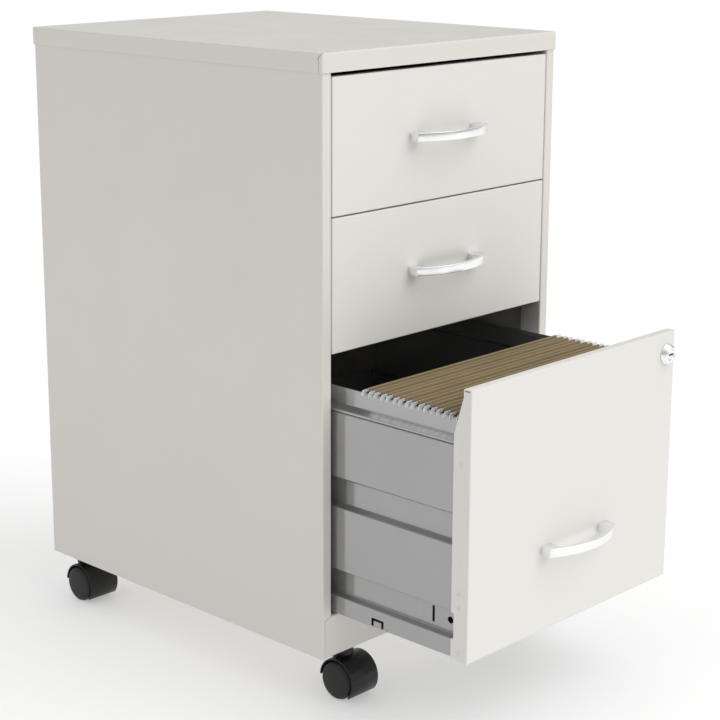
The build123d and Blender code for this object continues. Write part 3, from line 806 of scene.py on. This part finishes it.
class CABINET_OT_casters(Operator):
    """Mould the caster hoods and turn the wheels"""

    bl_idname = "cabinet.casters"
    bl_label = "Casters"

    def execute(self, context):
        hood_nylon = moulded_black("hood nylon", colour("moulding"), 0.28)
        wheel_nylon = moulded_black("wheel nylon", colour("wheel"), 0.46)
        pattern_hood = self.hood()
        pattern_wheel = self.wheel()
        for corner in CORNERS:
            axle = middle(f"caster_{corner}_axle")
            hood = copied(pattern_hood, f"caster_{corner}_moulded_hood", axle)
            finish_piece(hood, f"caster_{corner}", hood_nylon, [f"caster_{corner}_hood"])
            outward = 1 if axle.x > 0 else -1
            for label, side in (("outer", outward), ("inner", -outward)):
                node = f"caster_{corner}_{label}_wheel"
                wheel = copied(pattern_wheel, f"caster_{corner}_{label}_turned_wheel", axle, side < 0)
                finish_piece(wheel, f"wheel_{corner}_{label}", wheel_nylon, [node])
        bpy.data.objects.remove(pattern_hood)
        bpy.data.objects.remove(pattern_wheel)
        return {"FINISHED"}

    def wheel(self):
        """A wheel to the right of the axle's middle: blind bore, hollowed inside, rounded outside."""
        radius = WHEEL_RADIUS
        inner = WHEEL_INNER
        outer = WHEEL_OUTER
        edge = sizes().wheel_edge
        hub = [
            (AXLE_END, 0.0), (AXLE_END, AXLE_HOLE), (inner, AXLE_HOLE), (inner, 0.0060),
            (inner + 0.003, 0.0064), (inner + 0.004, 0.0085), (inner + 0.004, 0.0160),
            (inner + 0.0006, 0.0172), (inner, 0.0176), (inner, radius - 0.0010),
        ]
        tread = [
            (inner + 0.0003, radius - 0.0003), (inner + 0.0010, radius), (outer - 0.0050, radius),
            (outer - 0.0040, radius - 0.00012), (outer - 0.0022, radius - 0.0008),
            (outer - 0.0022 + edge * 0.6, radius - 0.0008 - edge * 0.3),
            (outer - 0.0022 + edge, radius - 0.0008 - edge),
        ]
        disc = [
            (outer - 0.0004, radius - 0.0034), (outer - 0.0001, radius - 0.0042),
            (outer + 0.0001, radius - 0.0060), (outer + 0.0004, 0.0095),
            (outer + 0.0006, 0.0050), (outer + 0.0006, 0.0000),
        ]
        outline = hub + tread + disc
        wheel = turned("wheel_pattern", outline, (0, 0, 0), "X", 72)
        smooth(wheel, 40)
        return wheel

    def hood(self):
        """A hood bent over both wheels, a web between them and a neck for the swivel pin."""
        start()
        bpy.ops.mesh.primitive_plane_add(size=1, location=(0, 0, 0))
        shell = name_it("hood_pattern")
        shell.data.transform(Matrix.Diagonal((2 * HOOD_HALF_WIDTH, HOOD_WALL, 1, 1)))
        shell.data.transform(Matrix.Translation((0, HOOD_OUTER - HOOD_WALL / 2, 0)))
        shell.data.transform(Matrix.Rotation(math.radians(HOOD_FIRST), 4, "X"))
        swept(shell, math.radians(HOOD_LAST - HOOD_FIRST), 44, (0, 0, 0), (1, 0, 0))
        round_edges(shell, 0.0007, 3, 50)
        web = self.web()
        axle = middle("caster_front_left_axle")
        trail = middle("caster_front_left_plate").y - axle.y
        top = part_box("caster_front_left_hood")[1].z - axle.z
        neck_outline = [
            (0.0236, 0.0041), (0.0190, 0.0041), (0.0190, 0.0112), (0.0225, 0.0114), (0.0245, 0.0118),
            (0.0262, 0.0114), (top - 0.0030, 0.0110), (top - 0.0012, 0.0107), (top - 0.0003, 0.0100),
            (top, 0.0092), (top, 0.0050), (top - 0.0006, 0.0041), (0.0236, 0.0041),
        ]
        neck = turned("neck", neck_outline, (0, trail, 0), "Z", 48)
        drum_outline = [(-0.03, 0.0), (-0.03, HOOD_INNER), (0.03, HOOD_INNER), (0.03, 0.0)]
        drum = turned("inside", drum_outline, (0, 0, 0), "X", 96)
        apply_modifier(neck, "BOOLEAN", operation="DIFFERENCE", object=drum, solver="EXACT")
        bpy.data.objects.remove(drum)
        hood = joined("hood_pattern", [shell, web, neck])
        smooth(hood, 40)
        return hood

    def web(self):
        """The plate between the wheels, which carries the axle."""
        start()
        bpy.ops.mesh.primitive_circle_add(
            vertices=72, radius=HOOD_INNER + 0.0004, fill_type="NGON", location=(0, 0, 0)
        )
        web = name_it("web")
        web.data.transform(Matrix.Rotation(math.radians(90), 4, "Y"))
        bpy.ops.object.mode_set(mode="EDIT")
        cut = math.radians(HOOD_LAST - 180) + 0.3
        for normal in ((0, -0.05, -1), (0, -math.sin(cut), -math.cos(cut))):
            bpy.ops.mesh.select_all(action="SELECT")
            bpy.ops.mesh.bisect(plane_co=(0, 0, -0.0075), plane_no=normal, clear_outer=True)
        bpy.ops.mesh.select_all(action="SELECT")
        bpy.ops.mesh.extrude_region_move(TRANSFORM_OT_translate={"value": (WEB_THICKNESS, 0, 0)})
        bpy.ops.mesh.select_all(action="SELECT")
        bpy.ops.transform.translate(value=(-WEB_THICKNESS / 2, 0, 0))
        bpy.ops.mesh.normals_make_consistent(inside=False)
        bpy.ops.object.mode_set(mode="OBJECT")
        return web


class CABINET_OT_stage(Operator):
    """Set the floor, the lights and the camera"""

    bl_idname = "cabinet.stage"
    bl_label = "Stage"

    def execute(self, context):
        self.floor()
        self.lights(context)
        self.camera(context)
        return {"FINISHED"}

    def floor(self):
        start()
        bpy.ops.mesh.primitive_plane_add(size=FLOOR_SIZE, location=(0, 0, -FLOOR_DROP))
        floor = name_it("studio_floor")
        bpy.ops.object.transform_apply(location=True, rotation=True, scale=True)
        floor.data.materials.append(floor_finish("pale floor", colour("floor")))

    def lights(self, context):
        world = bpy.data.worlds.new("studio")
        context.scene.world = world
        world.use_nodes = True
        tree = world.node_tree
        background = tree.nodes["Background"]
        background.inputs["Color"].default_value = (1, 1, 1, 1)
        seen = tree.nodes.new("ShaderNodeLightPath").outputs["Is Camera Ray"]
        direction = tree.nodes.new("ShaderNodeTexCoord").outputs["Generated"]
        height = tree.nodes.new("ShaderNodeSeparateXYZ")
        tree.links.new(direction, height.inputs[0])
        ceiling = tree.nodes.new("ShaderNodeMapRange")
        ceiling.inputs["To Min"].default_value = GROUND_LIGHT
        ceiling.inputs["To Max"].default_value = SKY_LIGHT
        tree.links.new(height.outputs["Z"], ceiling.inputs["Value"])
        strength = tree.nodes.new("ShaderNodeMapRange")
        strength.inputs["To Max"].default_value = 1.0
        tree.links.new(ceiling.outputs[0], strength.inputs["To Min"])
        tree.links.new(seen, strength.inputs["Value"])
        tree.links.new(strength.outputs[0], background.inputs["Strength"])
        self.window_light("window", WINDOW_TOWARDS, WINDOW_STRENGTH)
        context.scene.view_settings.view_transform = "Standard"
        context.scene.view_settings.look = "None"

    def window_light(self, name, towards, strength):
        """Even light from a wide soft source a long way off."""
        lamp = bpy.data.lights.new(name, "SUN")
        lamp.energy = strength
        lamp.angle = math.radians(WINDOW_ANGLE)
        made = bpy.data.objects.new(name, lamp)
        bpy.context.scene.collection.objects.link(made)
        made.rotation_mode = "QUATERNION"
        made.rotation_quaternion = (-Vector(towards)).to_track_quat("-Z", "Y")

    def camera(self, context):
        azimuth = math.radians(CAMERA_AZIMUTH)
        elevation = math.radians(CAMERA_ELEVATION)
        back = Vector((
            math.sin(azimuth) * math.cos(elevation),
            -math.cos(azimuth) * math.cos(elevation),
            math.sin(elevation),
        ))
        lens = bpy.data.cameras.new("camera")
        lens.sensor_width = 36.0
        lens.lens = CAMERA_LENS
        lens.shift_x, lens.shift_y = CAMERA_SHIFT
        camera = bpy.data.objects.new("camera", lens)
        context.scene.collection.objects.link(camera)
        camera.location = Vector(CAMERA_TARGET) + back * CAMERA_DISTANCE
        camera.rotation_mode = "QUATERNION"
        camera.rotation_quaternion = (-back).to_track_quat("-Z", "Y")
        context.scene.camera = camera


STEPS = (
    CABINET_OT_stage,
    CABINET_OT_shell,
    CABINET_OT_rails,
    CABINET_OT_drawers,
    CABINET_OT_handles,
    CABINET_OT_lock,
    CABINET_OT_folders,
    CABINET_OT_casters,
)


class CABINET_PT_panel(Panel):
    """Buttons for each step, with the sizes and colours they use"""

    bl_idname = "CABINET_PT_panel"
    bl_label = "Pedestal Cabinet"
    bl_space_type = "VIEW_3D"
    bl_region_type = "UI"
    bl_category = "Cabinet"

    def draw(self, context):
        for step in STEPS:
            self.layout.operator(step.bl_idname)
        for group in (context.scene.cabinet_sizes, context.scene.cabinet_colours):
            box = self.layout.box()
            for label in group.__annotations__:
                box.prop(group, label)


CLASSES = (CabinetSizes, CabinetColours, *STEPS, CABINET_PT_panel)


def register():
    for made in CLASSES:
        bpy.utils.register_class(made)
    bpy.types.Scene.cabinet_sizes = PointerProperty(type=CabinetSizes)
    bpy.types.Scene.cabinet_colours = PointerProperty(type=CabinetColours)


def unregister():
    del bpy.types.Scene.cabinet_colours
    del bpy.types.Scene.cabinet_sizes
    for made in reversed(CLASSES):
        bpy.utils.unregister_class(made)


def main():
    register()
    for step in STEPS:
        group, action = step.bl_idname.split(".")
        getattr(getattr(bpy.ops, group), action)()


if __name__ == "__main__":
    main()
